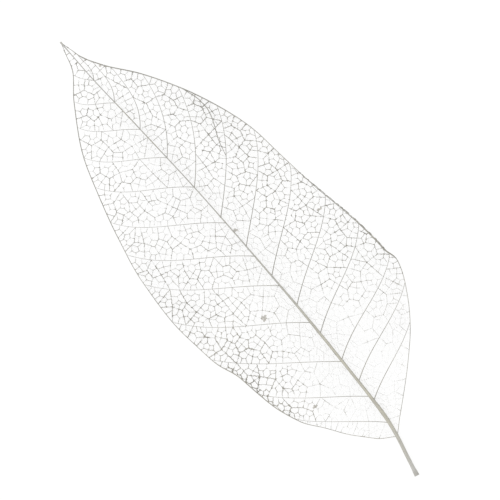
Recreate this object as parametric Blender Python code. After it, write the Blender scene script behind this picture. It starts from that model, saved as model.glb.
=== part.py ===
"""Skeleton leaf: the veins of one elliptic leaf, bare of soft tissue, lying on a table.

The leaf is drawn flat first, in millimetres: u runs across it, to the right of the
midrib, and v runs along the midrib from the blade's base to its tip. Side veins, cross
veins and the edge cut the flat blade into cells. The cells' edges become the struts of
the vein net, and lay() sets every flat point into the gently waved leaf.
"""

import math
import random

import bmesh
import bpy
import numpy as np

MM = 0.001

# Driving dimensions, in millimetres
BLADE_LENGTH = 134.0
STALK_LENGTH = 11.0
CENTRE = (2.44, 61.63)
CELL_AREA = 13.0
DRAW = 11
MIDRIB_STEPS = 32

# Half widths of the flat blade: share of the way from base to tip, then millimetres.
HALF_WIDTH = {
    1: [(0, 0), (0.03, 3.2), (0.06, 7.5), (0.10, 13.1), (0.15, 19.4), (0.20, 23.9),
        (0.25, 27.1), (0.30, 28.6), (0.35, 28.1), (0.45, 26.0), (0.55, 23.4), (0.65, 21.0),
        (0.75, 16.8), (0.85, 10.2), (0.92, 4.0), (0.96, 1.3), (1, 0.35)],
    -1: [(0, 0), (0.015, 4.7), (0.06, 10.5), (0.10, 14.4), (0.14, 18.7), (0.20, 22.4),
         (0.30, 25.1), (0.38, 26.6), (0.45, 27.4), (0.55, 26.4), (0.65, 23.4),
         (0.75, 18.9), (0.82, 15.0), (0.90, 7.6), (0.95, 2.2), (1, 0.35)],
}

# How far the midrib bows to the right of the straight line from base to tip.
MIDRIB_BOW = [(-0.085, -2.8), (-0.04, -1.35), (0, 0), (0.05, 1.05), (0.15, 1.7),
              (0.35, 2.35), (0.48, 2.3), (0.60, 2.1), (0.80, 1.05), (0.92, 0.3), (1, 0.2)]

MIDRIB_RADIUS = [(-0.083, 0.98), (-0.077, 0.95), (-0.062, 0.80), (0.0, 0.76),
                 (0.35, 0.66), (0.75, 0.52), (1.01, 0.42)]

# Heights above the table: the midrib, each edge, and the arch between them. The midrib's
# belly and three places on the edges come down to the table, where they are cut flat, so
# that the leaf lies still.
MIDRIB_HEIGHT = [(-0.085, 1.9), (0.0, 1.15), (0.14, 0.92), (0.32, 0.5), (0.44, 0.5),
                 (0.60, 1.0), (0.75, 1.9), (0.92, 3.6), (1, 5.2)]
EDGE_HEIGHT = {
    1: [(0, 0.9), (0.10, 1.9), (0.22, 0.24), (0.30, 0.9), (0.48, 2.4), (0.62, 1.2),
        (0.70, 0.22), (0.80, 1.6), (0.92, 3.9), (1, 5.2)],
    -1: [(0, 0.9), (0.08, 2.2), (0.20, 2.8), (0.34, 1.6), (0.47, 0.22), (0.60, 1.6),
         (0.74, 4.4), (0.86, 3.4), (0.95, 4.2), (1, 5.2)],
}
ARCH_HEIGHT = {
    1: [(0, 0), (0.15, 1.3), (0.40, 2.2), (0.66, 2.1), (0.85, 0.9), (1, 0)],
    -1: [(0, 0), (0.15, 1.0), (0.40, 2.3), (0.60, 2.0), (0.85, 0.7), (1, 0)],
}

# Where the edge has rolled up while drying, as a share of the full roll.
ROLL_WIDTH = 4.2
ROLL_ANGLE = math.radians(85)
ROLL = {
    1: [(0, 0), (0.25, 0), (0.30, 1), (0.45, 1), (0.56, 0.6), (0.68, 0), (1, 0)],
    -1: [(0, 0), (0.06, 0), (0.18, 0.65), (0.28, 0.8), (0.36, 0), (1, 0)],
}

# Side veins: the share of the blade where each leaves the midrib, how far on towards the
# tip it meets the edge, and the angle, in degrees, at which it leaves.
SIDE_VEIN_STARTS = {
    1: [0.082, 0.129, 0.182, 0.248, 0.319, 0.394, 0.470, 0.545, 0.622, 0.700, 0.776,
        0.848, 0.906],
    -1: [0.030, 0.093, 0.179, 0.276, 0.369, 0.445, 0.530, 0.623, 0.700, 0.775, 0.845,
         0.905],
}
SIDE_VEIN_REACH = {
    1: [(0, 0.05), (0.05, 0.062), (0.10, 0.084), (0.17, 0.106), (0.25, 0.128), (0.35, 0.145),
        (0.60, 0.165), (0.75, 0.135), (0.90, 0.060), (1, 0.03)],
    -1: [(0, 0.11), (0.09, 0.15), (0.20, 0.17), (0.32, 0.178), (0.45, 0.167), (0.62, 0.13),
         (0.78, 0.085), (0.90, 0.035), (1, 0.02)],
}
SIDE_VEIN_ANGLE = {
    1: [(0, 57), (0.20, 54), (0.35, 51), (0.60, 49), (1, 44)],
    -1: [(0, 50), (0.20, 50), (0.35, 47), (0.60, 45), (1, 42)],
}
SIDE_VEIN_STEPS = 10
EDGE_STEP = 0.026
EDGE_STATIONS_AT_BASE = [0.0045, 0.012, 0.026]
RIB_SPACING = 9.5

# The shares of its reach that a side vein runs straight at its two ends, how far it turns
# along the edge there, and how far the first cross veins on it are staggered.
RUN_FROM_MIDRIB, RUN_TO_EDGE = 0.38, 0.34
ALONG_EDGE = 0.3
STAGGER = 0.22

MIDRIB, SIDE_VEIN, EDGE, CROSS_VEIN = 1, 2, 3, 4
SHORTEST_STRUT = 0.85

# The blade is taken as at least this half width when it is laid, and points are laid up
# to this share of it; BIT is a small step along the blade, to read a direction from.
NARROWEST, FURTHEST_OUT, BIT = 0.3, 1.15, 0.01
ARCH_LEAN = 0.85

# Drawing the cells: tries at a split, rounds that even its parts out, and the share of
# the way that a corner moves towards its neighbours in each round of easing.
SPLIT_TRIES, EVENING_ROUNDS = 8, 5
PULL, EASING_ROUNDS = 0.4, 3

# Setting a strut's sides in from its vein: where a corner counts as straight, the longest
# mitre in strut depths, the least turn left to a side, and how a tight corner gives way.
NEARLY_STRAIGHT, LONGEST_MITRE, LEAST_TURN = 0.2, 2.4, 0.04
TIGHT_ROUNDS, GIVES_WAY, SAFELY = 40, 0.85, 1.15

# Stations on the stalk's cut end, where the even ones begin, and the midrib's overrun.
CUT_END, EVEN_FROM, OVERRUN = (0, 0.7, 2.2), 4.5, 0.4
ROD_ROUNDNESS = 3
TABLE_SIZE = (0.12, 0.2, 0.02)
VEIN_COLOUR = (0.56, 0.53, 0.46, 1)
VEIN_ROUGHNESS = 0.7
STRUT_WIDTH = {MIDRIB: 0.64, SIDE_VEIN: 0.95, EDGE: 0.68, CROSS_VEIN: 0.64}
STRUT_HEIGHT = {MIDRIB: 0.68, SIDE_VEIN: 0.90, EDGE: 0.68, CROSS_VEIN: 0.64}


def curve_through(table, at):
    """Values on a smooth curve through (place, value) pairs that never overshoots them."""
    place, value = np.array(table, float).T
    step = np.diff(place)
    slope = np.diff(value) / step
    product = slope[:-1] * slope[1:]
    total = slope[:-1] + slope[1:]
    inner = np.where(product > 0, 2 * product / np.where(total == 0, 1, total), 0)
    lean = np.concatenate([slope[:1], inner, slope[-1:]])
    at = np.clip(np.asarray(at, float), place[0], place[-1])
    k = np.clip(np.searchsorted(place, at, side="right") - 1, 0, len(step) - 1)
    t = (at - place[k]) / step[k]
    return (
        value[k] * (1 + 2 * t) * (1 - t) ** 2
        + value[k + 1] * t * t * (3 - 2 * t)
        + step[k] * lean[k] * t * (1 - t) ** 2
        - step[k] * lean[k + 1] * t * t * (1 - t)
    )


def half_width(side, v):
    return curve_through(HALF_WIDTH[side], v / BLADE_LENGTH)


def lay(flat):
    """The flat points (u, v) as points of the lying leaf, in millimetres."""
    flat = np.asarray(flat, float).reshape(-1, 2)
    laid = np.zeros((len(flat), 3))
    for side in (1, -1):
        mine = flat[:, 0] * side >= 0
        across, v = np.abs(flat[mine, 0]), flat[mine, 1]
        share = v / BLADE_LENGTH
        width = np.maximum(half_width(side, v), NARROWEST)
        out = np.minimum(across / width, FURTHEST_OUT)
        spine = curve_through(MIDRIB_HEIGHT, share)
        edge = curve_through(EDGE_HEIGHT[side], share)
        arch = curve_through(ARCH_HEIGHT[side], share)
        height = spine + (edge - spine) * out**2
        height += arch * np.sin(math.pi * np.clip(out, 0, 1) ** ARCH_LEAN)

        past = np.maximum(across - (width - ROLL_WIDTH), 0)
        bend = np.maximum(curve_through(ROLL[side], share) * ROLL_ANGLE / ROLL_WIDTH, 1e-6)
        across = across - past + np.sin(bend * past) / bend
        height = height + (1 - np.cos(bend * past)) / bend

        lean = np.arctan2(
            curve_through(MIDRIB_BOW, share + BIT) - curve_through(MIDRIB_BOW, share - BIT),
            2 * BIT * BLADE_LENGTH,
        )
        laid[mine, 0] = curve_through(MIDRIB_BOW, share) + side * across * np.cos(lean) - CENTRE[0]
        laid[mine, 1] = v - side * across * np.sin(lean) - CENTRE[1]
        laid[mine, 2] = height
    return laid


def side_vein(side, start):
    """Points of one side vein on the flat blade, from the midrib out to the edge."""
    v0 = start * BLADE_LENGTH
    v1 = v0 + float(curve_through(SIDE_VEIN_REACH[side], start)) * BLADE_LENGTH
    u1 = float(half_width(side, v1))
    reach = math.hypot(u1, v1 - v0)
    ahead = float(half_width(side, v1 + 1)) - u1
    near_edge = math.atan2(u1, v1 - v0) * (1 - ALONG_EDGE) + math.atan2(ahead, 1) * ALONG_EDGE
    leaving = math.radians(float(curve_through(SIDE_VEIN_ANGLE[side], start)))
    out, back = reach * RUN_FROM_MIDRIB, reach * RUN_TO_EDGE
    bends = [
        (0, v0),
        (math.sin(leaving) * out, v0 + math.cos(leaving) * out),
        (u1 - math.sin(near_edge) * back, v1 - math.cos(near_edge) * back),
        (u1, v1),
    ]
    points = []
    for k in range(SIDE_VEIN_STEPS + 1):
        t = k / SIDE_VEIN_STEPS
        shares = ((1 - t) ** 3, 3 * t * (1 - t) ** 2, 3 * t * t * (1 - t), t**3)
        u = sum(s * b[0] for s, b in zip(shares, bends))
        v = sum(s * b[1] for s, b in zip(shares, bends))
        points.append((side * u, v))
    return points


def edge_run(side, v0, v1):
    """Points of the blade's edge between two heights, ends included."""
    stations = [v0]
    for share in [*EDGE_STATIONS_AT_BASE, *np.arange(0.05, 1, EDGE_STEP)]:
        if v0 + 0.5 < share * BLADE_LENGTH < v1 - 0.5:
            stations.append(float(share * BLADE_LENGTH))
    stations.append(v1)
    return [(side * float(half_width(side, v)), v) for v in stations]


class Veins:
    """The straight lines that cells share, each with its rank among the veins."""

    def __init__(self):
        self.ranks = []
        self.named = {}

    def line(self, rank, name=None):
        if name is None or name not in self.named:
            self.ranks.append(rank)
            if name is None:
                return len(self.ranks) - 1
            self.named[name] = len(self.ranks) - 1
        return self.named[name]


def run_between(veins, points, name, rank, begin, end):
    """The stretch of a polyline between two places on it, counted in its steps.

    Each corner comes with the line that runs on from it.
    """
    def at(place):
        k = min(int(place), len(points) - 2)
        t = place - k
        (u0, v0), (u1, v1) = points[k], points[k + 1]
        return (u0 + (u1 - u0) * t, v0 + (v1 - v0) * t)

    corners = [begin]
    corners += [k for k in range(len(points)) if begin + 1e-6 < k < end - 1e-6]
    corners.append(end)
    return [
        (at(a), veins.line(rank, (name, min(int((a + b) / 2), len(points) - 2))))
        for a, b in zip(corners, corners[1:])
    ], at(end)


def backwards(run, last):
    """The same stretch walked the other way round."""
    points = [point for point, _ in run] + [last]
    lines = [line for _, line in run]
    return list(zip(points[:0:-1], lines[::-1])), points[0]


def blocks_of(side, draw):
    """The cells between neighbouring side veins, before their cross veins are drawn."""
    veins, blocks = draw
    starts = SIDE_VEIN_STARTS[side]
    ribs = [side_vein(side, start) for start in starts]
    midrib = veins.line(MIDRIB, "midrib")
    tip = (0.0, BLADE_LENGTH)

    def outer(v0, v1):
        points = edge_run(side, v0, v1)
        names = [(side, round(a[1], 4)) for a in points[:-1]]
        return [(p, veins.line(EDGE, n)) for p, n in zip(points, names)], points[-1]

    whole = float(SIDE_VEIN_STEPS)
    for k, rib in enumerate(ribs[:-1]):
        above = ribs[k + 1]
        length = math.dist(rib[0], rib[-1])
        count = max(1, round(length / RIB_SPACING))
        shift = STAGGER * (-1) ** k
        lows = [0.0] + [whole * (j + shift) / count for j in range(1, count)] + [whole]
        highs = [0.0] + [whole * (j + shift * 0.6 + 0.05) / count for j in range(1, count)] + [whole]
        for j in range(count):
            low, low_end = run_between(veins, rib, (side, k), SIDE_VEIN, lows[j], lows[j + 1])
            high, high_end = run_between(veins, above, (side, k + 1), SIDE_VEIN, highs[j], highs[j + 1])
            back, back_end = backwards(high, high_end)
            block = list(low)
            if j == count - 1:
                border, _ = outer(rib[-1][1], above[-1][1])
                block += border
            else:
                block.append((low_end, veins.line(CROSS_VEIN, (side, k, j + 1))))
            block += back
            if j == 0:
                block.append((back_end, midrib))
            else:
                block.append((back_end, veins.line(CROSS_VEIN, (side, k, j))))
            blocks.append(block)

    border, _ = outer(0.0, ribs[0][-1][1])
    low, low_end = run_between(veins, ribs[0], (side, 0), SIDE_VEIN, 0.0, whole)
    back, back_end = backwards(low, low_end)
    blocks.append([*border, *back, (back_end, midrib)])

    last = len(ribs) - 1
    high, _ = run_between(veins, ribs[last], (side, last), SIDE_VEIN, 0.0, whole)
    border, border_end = outer(ribs[last][-1][1], BLADE_LENGTH)
    across = veins.line(EDGE, (side, "tip"))
    blocks.append([*high, *border, (border_end, across), (tip, midrib)])


def cut(cell, middle, away, line):
    """The part of a cell that lies behind a line. None where the line cuts it into more."""
    kept, cuts = [], 0
    behind = [
        (p[0] - middle[0]) * away[0] + (p[1] - middle[1]) * away[1] for p, _ in cell
    ]
    for k, (point, edge) in enumerate(cell):
        here, there = behind[k], behind[(k + 1) % len(cell)]
        following = cell[(k + 1) % len(cell)][0]
        if here <= 0:
            kept.append((point, edge))
        if (here <= 0) != (there <= 0):
            t = here / (here - there)
            crossing = (
                point[0] + (following[0] - point[0]) * t,
                point[1] + (following[1] - point[1]) * t,
            )
            leaves = here <= 0
            kept.append((crossing, line if leaves else edge))
            cuts += leaves
    return kept if cuts <= 1 else None


def area_and_centre(points):
    area = u = v = 0.0
    for (u0, v0), (u1, v1) in zip(points, points[1:] + points[:1]):
        cross = u0 * v1 - u1 * v0
        area += cross
        u += (u0 + u1) * cross
        v += (v0 + v1) * cross
    if abs(area) < 1e-9:
        return 0.0, points[0]
    return area / 2, (u / (3 * area), v / (3 * area))


def holds(points, u, v):
    inside = False
    for (u0, v0), (u1, v1) in zip(points, points[1:] + points[:1]):
        if (v0 > v) != (v1 > v) and u < (u1 - u0) * (v - v0) / (v1 - v0) + u0:
            inside = not inside
    return inside


def cells_around(cell, seeds, line_of):
    """Each seed's share of a cell: the points nearer to it than to any other seed."""
    shares = []
    for i, seed in enumerate(seeds):
        share = cell
        order = sorted(
            (j for j in range(len(seeds)) if j != i),
            key=lambda j: math.dist(seed, seeds[j]),
        )
        for j in order:
            other = seeds[j]
            middle = ((seed[0] + other[0]) / 2, (seed[1] + other[1]) / 2)
            away = (other[0] - seed[0], other[1] - seed[1])
            share = cut(share, middle, away, line_of(i, j))
            if share is None or len(share) < 3:
                return None
        shares.append(share)
    return shares


def split(cell, veins, rank, cell_area, chance):
    """A cell cut into rounded smaller ones by new veins of the given rank."""
    points = [point for point, _ in cell]
    area, _ = area_and_centre(points)
    count = round(abs(area) / cell_area)
    if count < 2:
        return [cell]
    us, vs = [p[0] for p in points], [p[1] for p in points]
    for _ in range(SPLIT_TRIES):
        seeds = []
        while len(seeds) < count:
            u, v = chance.uniform(min(us), max(us)), chance.uniform(min(vs), max(vs))
            if holds(points, u, v):
                seeds.append((u, v))
        shares = None
        for _ in range(EVENING_ROUNDS):
            shares = cells_around(cell, seeds, lambda i, j: -1)
            if shares is None:
                break
            seeds = [area_and_centre([p for p, _ in share])[1] for share in shares]
        if shares is None:
            continue
        lines = {}

        def line_of(i, j):
            pair = (min(i, j), max(i, j))
            if pair not in lines:
                lines[pair] = veins.line(rank)
            return lines[pair]

        shares = cells_around(cell, seeds, line_of)
        if shares is not None:
            return shares
    return [cell]


def joined(cells, veins):
    """Corners numbered once for all the cells, with each other's corners let in.

    Returns the corners, the cells as rings of corner numbers, and each edge's rank.
    """
    number, corners = {}, []

    def index(point):
        key = (round(point[0], 4), round(point[1], 4))
        if key not in number:
            number[key] = len(corners)
            corners.append(point)
        return number[key]

    rings, on_line = [], {}
    for cell in cells:
        ring = [(index(point), line) for point, line in cell]
        ring = [r for k, r in enumerate(ring) if r[0] != ring[(k + 1) % len(ring)][0]]
        rings.append(ring)
        for k, (corner, line) in enumerate(ring):
            on_line.setdefault(line, set()).update((corner, ring[(k + 1) % len(ring)][0]))

    faces, ranks = [], {}
    for ring in rings:
        face = []
        for k, (corner, line) in enumerate(ring):
            following = ring[(k + 1) % len(ring)][0]
            (u0, v0), (u1, v1) = corners[corner], corners[following]
            length = (u1 - u0) ** 2 + (v1 - v0) ** 2
            between = []
            for other in on_line[line]:
                u, v = corners[other]
                t = ((u - u0) * (u1 - u0) + (v - v0) * (v1 - v0)) / length
                if 0 < t < 1 and other not in (corner, following):
                    between.append((t, other))
            steps = [corner, *(other for _, other in sorted(between)), following]
            for a, b in zip(steps, steps[1:]):
                ranks[frozenset((a, b))] = veins.ranks[line]
            face += steps[:-1]
        faces.append(face)
    return corners, faces, ranks


def corner_ranks(corners, ranks):
    strongest = [CROSS_VEIN + 9] * len(corners)
    for edge, rank in ranks.items():
        for corner in edge:
            strongest[corner] = min(strongest[corner], rank)
    return strongest


def without_short_struts(corners, faces, ranks, shortest):
    """Corners closer than the shortest strut are made one, on the stronger vein."""
    strongest = corner_ranks(corners, ranks)
    stands_for = list(range(len(corners)))

    def find(corner):
        while stands_for[corner] != corner:
            corner = stands_for[corner]
        return corner

    def length(edge):
        return math.dist(corners[edge[0]], corners[edge[1]])

    for a, b in sorted((sorted(edge) for edge in ranks), key=length):
        a, b = find(a), find(b)
        if a == b or math.dist(corners[a], corners[b]) > shortest:
            continue
        if strongest[b] < strongest[a]:
            a, b = b, a
        if strongest[a] < CROSS_VEIN and strongest[a] == strongest[b] == EDGE:
            continue
        stands_for[b] = a
    kept, kept_ranks = [], {}
    for face in faces:
        ring = [find(corner) for corner in face]
        ring = [c for k, c in enumerate(ring) if c != ring[(k + 1) % len(ring)]]
        if len(ring) >= 3 and len(set(ring)) == len(ring):
            kept.append(ring)
    for edge, rank in ranks.items():
        a, b = (find(corner) for corner in edge)
        if a != b:
            pair = frozenset((a, b))
            kept_ranks[pair] = min(rank, kept_ranks.get(pair, rank))
    return kept, kept_ranks


def relaxed(corners, ranks, rank, rounds=EASING_ROUNDS):
    """Corners on veins of this rank or weaker, pulled towards their neighbours."""
    strongest = corner_ranks(corners, ranks)
    corners = list(corners)
    for _ in range(rounds):
        pull = {}
        for edge in ranks:
            a, b = edge
            for mine, other in ((a, b), (b, a)):
                if strongest[mine] >= rank:
                    pull.setdefault(mine, []).append(corners[other])
        for corner, others in pull.items():
            u, v = corners[corner]
            mean_u = sum(p[0] for p in others) / len(others)
            mean_v = sum(p[1] for p in others) / len(others)
            corners[corner] = (u + PULL * (mean_u - u), v + PULL * (mean_v - v))
    return corners


def vein_cells():
    """The flat blade as cells between veins: corners, rings of corners, edge ranks."""
    veins, blocks = Veins(), []
    for side in (1, -1):
        blocks_of(side, (veins, blocks))
    chance = random.Random(DRAW)
    cells = [part for block in blocks for part in split(block, veins, CROSS_VEIN, CELL_AREA, chance)]
    corners, faces, ranks = joined(cells, veins)
    faces, ranks = without_short_struts(corners, faces, ranks, SHORTEST_STRUT)
    corners = relaxed(corners, ranks, CROSS_VEIN)
    return corners, faces, ranks


def upward(ring, corners):
    area, _ = area_and_centre([corners[c] for c in ring])
    return ring if area > 0 else ring[::-1]


def inset(points, depths):
    """The ring moved inwards from each of its edges, kept free of crossings."""
    count = len(points)
    moves = []
    for k in range(count):
        before, here, after = points[k - 1], points[k], points[(k + 1) % count]
        sides = []
        for (u0, v0), (u1, v1) in ((before, here), (here, after)):
            length = math.hypot(u1 - u0, v1 - v0)
            sides.append((-(v1 - v0) / length, (u1 - u0) / length))
        (a0, b0), (a1, b1) = sides
        deep0, deep1 = depths[k - 1], depths[k]
        turn = a0 * b1 - b0 * a1
        if abs(turn) < NEARLY_STRAIGHT:
            deep = max(deep0, deep1)
            move = ((a0 + a1) / 2 * deep, (b0 + b1) / 2 * deep)
        else:
            move = ((deep0 * b1 - deep1 * b0) / turn, (a0 * deep1 - a1 * deep0) / turn)
        length, most = math.hypot(*move), LONGEST_MITRE * max(deep0, deep1)
        if length > most:
            move = (move[0] * most / length, move[1] * most / length)
        moves.append(move)

    def turned(a, b, c):
        return (b[0] - a[0]) * (c[1] - a[1]) - (b[1] - a[1]) * (c[0] - a[0])

    def cross(a, b, c, d):
        return turned(a, b, c) * turned(a, b, d) < 0 and turned(c, d, a) * turned(c, d, b) < 0

    share = [1.0] * count
    for _ in range(TIGHT_ROUNDS):
        moved, further = (
            [(p[0] + s * m[0] * by, p[1] + s * m[1] * by) for p, m, s in zip(points, moves, share)]
            for by in (1, SAFELY)
        )
        tight = set()
        for k in range(count - 2):
            for j in range(k + 2, count - (k == 0)):
                if cross(further[k], further[k + 1], further[j], further[(j + 1) % count]):
                    tight.update((k, k + 1, j, (j + 1) % count))
        for k in range(count):
            n = (k + 1) % count
            least = LEAST_TURN * math.dist(points[k], points[n]) * min(share[k], share[n])
            if turned(points[k], points[n], moved[n]) < least:
                tight.add(n)
            if turned(points[k], points[n], moved[k]) < least:
                tight.add(k)
            if min(turned(points[k], moved[n], moved[k]), turned(points[n], moved[n], moved[k])) < least:
                tight.update((k, n))
        if not tight:
            break
        for k in tight:
            share[k] *= GIVES_WAY
    return moved


def facing(flat):
    """The direction that the upper face of the lying leaf looks in, at flat points."""
    flat = np.asarray(flat, float)
    step = 0.05
    inward = np.where(flat[:, 0] > 0, -step, step)
    across = lay(flat + np.stack([inward, 0 * inward], 1)) - lay(flat)
    across *= np.sign(inward)[:, None]
    along = lay(flat + [0, step]) - lay(flat - [0, step])
    normal = np.cross(across, along)
    return normal / np.linalg.norm(normal, axis=1)[:, None]


def net_object(collection):
    """The vein net: along each vein a strut with a ridge above and a ridge below.

    The struts are set face by face, because they differ in width with their veins and the
    Wireframe modifier's struts run into each other in the narrow cells.
    """
    corners, rings, ranks = vein_cells()
    rings = [upward(ring, corners) for ring in rings]
    used = sorted({c for ring in rings for c in ring})
    place = {c: k for k, c in enumerate(used)}
    flat = [corners[c] for c in used]
    strongest = corner_ranks(corners, ranks)
    tall = np.array([STRUT_HEIGHT[strongest[c]] / 2 for c in used])[:, None]
    middle, normal = lay(flat), facing(flat)
    points = [*(middle + normal * tall), *(middle - normal * tall)]
    below = len(used)

    walked = {(a, b) for ring in rings for a, b in zip(ring, ring[1:] + ring[:1])}
    faces, hole_corners = [], []
    for ring in rings:
        edges = list(zip(ring, ring[1:] + ring[:1]))
        depths = [
            STRUT_WIDTH[ranks[frozenset(edge)]] / (2 if edge[::-1] in walked else 1)
            for edge in edges
        ]
        first = 2 * below + len(hole_corners)
        hole_corners += inset([corners[c] for c in ring], depths)
        for k, (a, b) in enumerate(edges):
            here, there = first + k, first + (k + 1) % len(ring)
            a, b = place[a], place[b]
            faces.append((a, b, there, here))
            faces.append((b + below, a + below, here, there))
            if edges[k][::-1] not in walked:
                faces.append((b, a, a + below, b + below))
    points += [*lay(hole_corners)]
    mesh = bpy.data.meshes.new("vein_net")
    mesh.from_pydata([tuple(p * MM) for p in points], [], faces)
    net_mesh = bmesh.new()
    net_mesh.from_mesh(mesh)
    bmesh.ops.triangulate(net_mesh, faces=net_mesh.faces)
    net_mesh.to_mesh(mesh)
    net_mesh.free()
    net = bpy.data.objects.new("skeleton_leaf", mesh)
    collection.objects.link(net)
    return net


def midrib_object(collection):
    """The midrib and the stalk below it: one round rod that thins towards the tip."""
    stations = [
        *(-STALK_LENGTH + up for up in CUT_END),
        *np.linspace(-STALK_LENGTH + EVEN_FROM, BLADE_LENGTH + OVERRUN, MIDRIB_STEPS),
    ]
    course = bpy.data.curves.new("midrib_course", "CURVE")
    course.dimensions = "3D"
    course.twist_mode = "Z_UP"
    course.bevel_depth = MM
    course.bevel_resolution = ROD_ROUNDNESS
    course.use_fill_caps = True
    spline = course.splines.new("POLY")
    spline.points.add(len(stations) - 1)
    for point, v in zip(spline.points, stations):
        share = v / BLADE_LENGTH
        across = float(curve_through(MIDRIB_BOW, share))
        height = float(curve_through(MIDRIB_HEIGHT, share))
        point.co = ((across - CENTRE[0]) * MM, (v - CENTRE[1]) * MM, height * MM, 1)
        point.radius = float(curve_through(MIDRIB_RADIUS, share))
    drawn = bpy.data.objects.new("midrib_course", course)
    collection.objects.link(drawn)
    bpy.context.view_layer.update()
    mesh = bpy.data.meshes.new_from_object(drawn.evaluated_get(bpy.context.evaluated_depsgraph_get()))
    bpy.data.objects.remove(drawn)

    rod_mesh = bmesh.new()
    rod_mesh.from_mesh(mesh)
    bmesh.ops.remove_doubles(rod_mesh, verts=rod_mesh.verts, dist=1e-6)
    bmesh.ops.triangulate(rod_mesh, faces=rod_mesh.faces)
    rod_mesh.to_mesh(mesh)
    rod_mesh.free()
    rod = bpy.data.objects.new("midrib_rod", mesh)
    collection.objects.link(rod)
    return rod


def table_object(collection):
    """A block with its top at the table: what it takes off leaves the flat underside."""
    bpy.ops.mesh.primitive_cube_add(size=1, location=(0, 0, -TABLE_SIZE[2] / 2))
    block = bpy.context.active_object
    block.name = "table_block"
    block.scale = TABLE_SIZE
    bpy.ops.object.transform_apply(location=False, rotation=False, scale=True)
    for holder in list(block.users_collection):
        holder.objects.unlink(block)
    collection.objects.link(block)
    return block


def leaf_material():
    material = bpy.data.materials.new("bleached_vein")
    material.use_nodes = True
    shader = material.node_tree.nodes["Principled BSDF"]
    shader.inputs["Base Color"].default_value = VEIN_COLOUR
    shader.inputs["Roughness"].default_value = VEIN_ROUGHNESS
    return material


def main():
    for obj in list(bpy.data.objects):
        bpy.data.objects.remove(obj, do_unlink=True)
    parts = bpy.data.collections.new("skeleton_leaf")
    helpers = bpy.data.collections.new("helpers")
    for collection in (parts, helpers):
        bpy.context.scene.collection.children.link(collection)

    leaf = net_object(parts)
    rod, table = midrib_object(helpers), table_object(helpers)
    for helper in (rod, table):
        helper.hide_render = True
        helper.display_type = "WIRE"
    for helper, operation in ((rod, "UNION"), (table, "DIFFERENCE")):
        step = leaf.modifiers.new(helper.name, "BOOLEAN")
        step.operation = operation
        step.object = helper
        step.solver = "EXACT"
    leaf.data.materials.append(leaf_material())


main()
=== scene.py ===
"""The looks of the skeleton leaf.

The part's own vein net is drawn again from the same named values, and two finer
generations of veins are grown into its cells. Round side veins, one of them branched, the
edge veins, a ribbed midrib with its cut stalk and a few flecks of dried tissue complete
it. The leaf is drawn flat in millimetres, u across and v along the midrib, and lay() sets
it into its waves. In tables for both halves, 1 is the right half and -1 the left.
"""

import math
import random

import bpy
import numpy as np
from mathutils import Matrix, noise


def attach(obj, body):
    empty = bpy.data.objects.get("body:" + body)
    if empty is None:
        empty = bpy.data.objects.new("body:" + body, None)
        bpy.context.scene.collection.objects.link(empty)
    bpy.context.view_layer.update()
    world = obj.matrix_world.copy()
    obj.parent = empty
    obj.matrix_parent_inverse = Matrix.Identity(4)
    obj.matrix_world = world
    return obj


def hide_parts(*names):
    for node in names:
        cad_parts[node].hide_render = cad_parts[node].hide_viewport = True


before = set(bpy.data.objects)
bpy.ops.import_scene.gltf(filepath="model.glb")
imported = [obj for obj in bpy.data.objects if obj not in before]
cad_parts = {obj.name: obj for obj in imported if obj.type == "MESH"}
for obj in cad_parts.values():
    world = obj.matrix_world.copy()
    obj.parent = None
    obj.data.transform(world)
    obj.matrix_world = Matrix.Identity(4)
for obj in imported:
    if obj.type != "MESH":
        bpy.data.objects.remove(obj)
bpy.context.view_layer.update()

MM = 0.001

# The same values as in the part's source, in millimetres, mm2 and degrees. DRAW is the
# seed of its cells.
BLADE_LENGTH = 134.0
STALK_LENGTH = 11.0
CENTRE = (2.44, 61.63)
CELL_AREA = 13.0
DRAW = 11

# Half widths of the flat blade: share of the way from base to tip, then millimetres.
HALF_WIDTH = {
    1: [(0, 0), (0.03, 3.2), (0.06, 7.5), (0.10, 13.1), (0.15, 19.4), (0.20, 23.9),
        (0.25, 27.1), (0.30, 28.6), (0.35, 28.1), (0.45, 26.0), (0.55, 23.4), (0.65, 21.0),
        (0.75, 16.8), (0.85, 10.2), (0.92, 4.0), (0.96, 1.3), (1, 0.35)],
    -1: [(0, 0), (0.015, 4.7), (0.06, 10.5), (0.10, 14.4), (0.14, 18.7), (0.20, 22.4),
         (0.30, 25.1), (0.38, 26.6), (0.45, 27.4), (0.55, 26.4), (0.65, 23.4),
         (0.75, 18.9), (0.82, 15.0), (0.90, 7.6), (0.95, 2.2), (1, 0.35)],
}

# How far the midrib bows to the right of the straight line from base to tip.
MIDRIB_BOW = [(-0.085, -2.8), (-0.04, -1.35), (0, 0), (0.05, 1.05), (0.15, 1.7),
              (0.35, 2.35), (0.48, 2.3), (0.60, 2.1), (0.80, 1.05), (0.92, 0.3), (1, 0.2)]

# Heights above the table: the midrib, each edge, and the arch between them.
MIDRIB_HEIGHT = [(-0.085, 1.9), (0.0, 1.15), (0.14, 0.92), (0.32, 0.5), (0.44, 0.5),
                 (0.60, 1.0), (0.75, 1.9), (0.92, 3.6), (1, 5.2)]
EDGE_HEIGHT = {
    1: [(0, 0.9), (0.10, 1.9), (0.22, 0.24), (0.30, 0.9), (0.48, 2.4), (0.62, 1.2),
        (0.70, 0.22), (0.80, 1.6), (0.92, 3.9), (1, 5.2)],
    -1: [(0, 0.9), (0.08, 2.2), (0.20, 2.8), (0.34, 1.6), (0.47, 0.22), (0.60, 1.6),
         (0.74, 4.4), (0.86, 3.4), (0.95, 4.2), (1, 5.2)],
}
ARCH_HEIGHT = {
    1: [(0, 0), (0.15, 1.3), (0.40, 2.2), (0.66, 2.1), (0.85, 0.9), (1, 0)],
    -1: [(0, 0), (0.15, 1.0), (0.40, 2.3), (0.60, 2.0), (0.85, 0.7), (1, 0)],
}

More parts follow.
